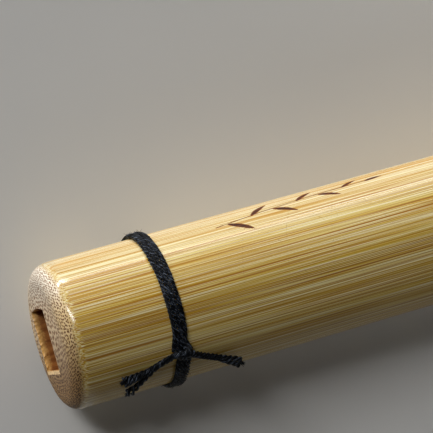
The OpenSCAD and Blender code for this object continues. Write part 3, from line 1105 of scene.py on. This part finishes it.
# %% Tie the knots
BIND_TAILS = (
    ((-0.7, 1, 14.4), (-1.6, 1, 14.2), (-2.5, -2, 13.6), (-3.8, -5.5, 13.2), (-5.2, -8.5, 13.1),
     (-6.6, -10.5, 13.1), (-8.2, -11.7, 13.2), (-10.6, -13, 13.3)),
    ((0.6, -0.5, 14.3), (2.2, -5, 13.7), (3.8, -10.5, 13.2), (5.3, -14.5, 13.1), (6.7, -18.5, 13.1),
     (8.0, -21, 13.5), (9.1, -22, 14.0), (9.8, -22.5, 14.5)),
)
BIND_FORK = ((-5.0, -8.5, 13.1), (-6.6, -14.5, 13.2), (-8.1, -21.5, 13.3), (-9.6, -28, 13.4))
TIE_TAILS = (
    ((-1.2, 1, 15.1), (-2.4, 0, 15.0), (-3.7, -2, 14.7), (-4.9, -5, 14.1), (-6.2, -9, 13.7),
     (-7.8, -13, 13.5), (-9.4, -16, 13.6), (-10.4, -17.5, 13.7)),
    ((1.2, -1, 15.1), (2.4, -3, 15.0), (3.7, -6, 14.7), (4.9, -10, 14.1), (6.2, -14, 13.7),
     (7.6, -17, 13.7), (8.8, -19, 14.0), (9.6, -20, 14.5)),
)
TAIL_OPENS = 0.62
KNOT_PARTS = (
    ((0.5, 6.5, -1.35), (0.6, 4, -0.70), (0.30, 1.5, 0.0), (-0.55, 0.6, 0.20), (-1.4, 0.4, -0.05)),
    ((-0.5, -6.5, -1.35), (-0.6, -4, -0.70), (-0.30, -1.6, -0.15), (0.6, -0.8, 0.15), (1.5, -1.6, -0.10)),
    ((-0.9, -3.2, -0.85), (-0.65, -2.4, 0.05), (0, -0.2, 0.48), (0.6, 2.0, 0.15), (0.95, 3.2, -0.80)),
)


def knot_route(points, s, angle, rho=0.0):
    return curve_through([on_flute(s + ds, angle + da, rho + dr) for ds, da, dr in points])


def lay_rope(cordage, route, **choices):
    cordage.rope(route, [away_from_axis(p) for p in route], **choices)


def lay_tail(name, node, s, angle, points, seed, fork=None):
    """A tail, opening at its cut end. A fork is a second end for two of the strands."""
    cordage = Cordage(seed)
    route = knot_route(points, s, angle)

    def opening(share):
        return 0.95 + 1.05 * max(0.0, share - TAIL_OPENS) / (1 - TAIL_OPENS)

    lay_rope(cordage, route, flat=0.80, size=0.92 if fork is None else 0.86, splay=opening)
    ends = [route]
    if fork:
        ends.append(knot_route(fork, s, angle))
        lay_rope(cordage, ends[1], flat=0.85, size=0.80, strands=3, splay=opening)
    for end in ends:
        ahead = (end[-1] - end[-4]).normalized()
        cordage.fray(end[-1], ahead, away_from_axis(end[-1]), count=60, length=0.7 * MM, spread=0.60)
    cordage.piece(name, node)


def tie_knot(name, node, s, angle, rho, seed):
    cordage = Cordage(seed)
    for part, points in enumerate(KNOT_PARTS):
        lay_rope(cordage, knot_route(points, s, angle, rho), flat=0.85, size=0.92, phase=part * 0.8)
    cordage.piece(name, node)


print("knot parts:", len(KNOT_PARTS))


# %% Bind the flute
END_BINDING = {"turns": 2, "spacing": 1.09 * MM, "flat": 0.60, "lay": FLAT_LAY, "strays": 220,
               "angle": -34, "knot_rho": CULM_R / MM + 1.54, "tails": BIND_TAILS}
END_SEAT = 0.36 * MM


def stray_fibres(cordage, route, count):
    """Fine ends that have worked loose from the turns."""
    draw = cordage.draw
    for _ in range(count):
        i = draw.randrange(4, len(route) - 8)
        point, ahead, up = route[i], (route[i + 3] - route[i]).normalized(), away_from_axis(route[i])
        side = ahead.cross(up)
        start = point + 0.40 * MM * up + draw.uniform(-0.4, 0.4) * MM * side
        lean = draw.uniform(-0.8, 0.8) * side + draw.uniform(-1, 1) * ahead
        reach = draw.uniform(0.3, 0.9) * MM
        cordage.fibre([start, start + (0.35 * up + 0.5 * lean) * reach,
                       start + (draw.uniform(0.1, 0.6) * up + lean) * reach], 0.028 * MM)


def bind(place, outline, kind, seed, fork=None):
    """The turns, the knot and the two tails of one binding."""
    low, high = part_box(place)
    middle_x = (low.x + high.x) / 2
    s, angle = (middle_x - MOUTH) / MM, kind["angle"]
    front, rear = kind["tails"]
    turns = Cordage(seed)
    route = wind(turns, outline, middle_x, kind["turns"], kind["spacing"], kind["flat"], kind["lay"])
    stray_fibres(turns, route, kind["strays"])
    turns.piece(place + "_cord", place)
    tie_knot(place + "_knot_cord", place + "_knot", s, angle, kind["knot_rho"], seed + 1)
    lay_tail(place + "_front_end", place + "_tail_front", s, angle, front, seed + 2, fork)
    lay_tail(place + "_rear_end", place + "_tail_rear", s, angle, rear, seed + 3)
    print(place, "at s =", round(s, 2), "mm")


end_outline = round_outline(CULM_R + END_SEAT, END_BINDING["angle"])
bind("mouth_binding", end_outline, END_BINDING, 11, BIND_FORK)
bind("foot_binding", end_outline, END_BINDING, 23)

# %% [markdown]
# ## The block's tie
#
# Four turns go under the bamboo and over the block's waist. They run straight in the air between
# the two, because a cord under tension takes the shortest way.

# %% Tie the block down
TIE = {"turns": 4, "spacing": 1.28 * MM, "flat": 0.86, "lay": ROUND_LAY, "strays": 60,
       "angle": -96, "knot_rho": CULM_R / MM + 1.95, "tails": TIE_TAILS}
TIE_RISE = 0.6 * MM
bind("block_tie", tie_outline(TIE_RISE, TIE["angle"]), TIE, 41)

# %% [markdown]
# ## Floor and light
#
# The flute lies on a pale matt floor. A wide softbox stands low on the +Y side and a weaker one
# higher up, so the light slides off the tube: the +Y flank glows, the top is in half light, and the
# -Y flank falls into shadow, which shows its roundness. A narrow strip puts a glint on the mouth's
# rounding, a small box lights the sawn end, and a faint one with a grid lifts the far half of the
# -Y flank. The rest is a very dim room.

# %% Lay the floor
floor_finish, floor_shader, floor_point = start_finish("pale_floor")
floor_mottle = grain(stretch(floor_point, 0.02, 0.02, 0.02), 1.0, 3)
plug_in(floor_shader, Base_Color=mix(floor_mottle, "d4d3d0", "dbdad7"),
        Roughness=0.75 + floor_mottle * 0.1)
FLOOR_HALF = 9.0
FLOOR_GAP = 0.02 * MM
floor_mesh = bpy.data.meshes.new("floor")
floor_corners = [(x * FLOOR_HALF, y * FLOOR_HALF, cad_low.z - FLOOR_GAP)
                 for x, y in ((-1, -1), (1, -1), (1, 1), (-1, 1))]
floor_mesh.from_pydata(floor_corners, [], [(0, 1, 2, 3)])
floor_mesh.materials.append(floor_finish)
floor = put_in_scene("floor", floor_mesh)
print("floor at z, mm:", round(cad_low.z / MM, 2))


# %% Light it
def softbox(name, place, size, power, target=mouth_centre, spread=180):
    lamp = bpy.data.lights.new(name, "AREA")
    lamp.shape = "RECTANGLE"
    lamp.size, lamp.size_y = size
    lamp.energy = power
    lamp.spread = math.radians(spread)
    box = put_in_scene(name, lamp)
    box.location = place
    box.rotation_euler = (Vector(place) - target).to_track_quat("Z", "Y").to_euler()
    box.visible_camera = False


softbox("side_softbox", (MOUTH + 0.1, 4.0, 0.20), (4.0, 0.42), 119)
softbox("high_softbox", (MOUTH + 0.1, 1.6, 1.1), (1.8, 1.2), 5)
softbox("strip_softbox", (MOUTH - 0.53, 0.57, 0.91), (0.22, 0.62), 6.0)
softbox("end_softbox", (MOUTH - 1.32, 1.50, 0.06), (0.30, 0.14), 9.2)
softbox("fill_softbox", (MOUTH + 0.32, -0.75, 0.60), (0.2, 0.2), 0.10,
        target=Vector((MOUTH + 0.30, 0, 0)), spread=28)
world = bpy.data.worlds.new("soft_room")
world.use_nodes = True
plug_in(world.node_tree.nodes["Background"], Color=(0.90, 0.90, 0.92, 1), Strength=0.015)
bpy.context.scene.world = world
bpy.context.scene.view_settings.view_transform = "Standard"
print("lights:", sorted(lamp.name for lamp in bpy.data.lights))
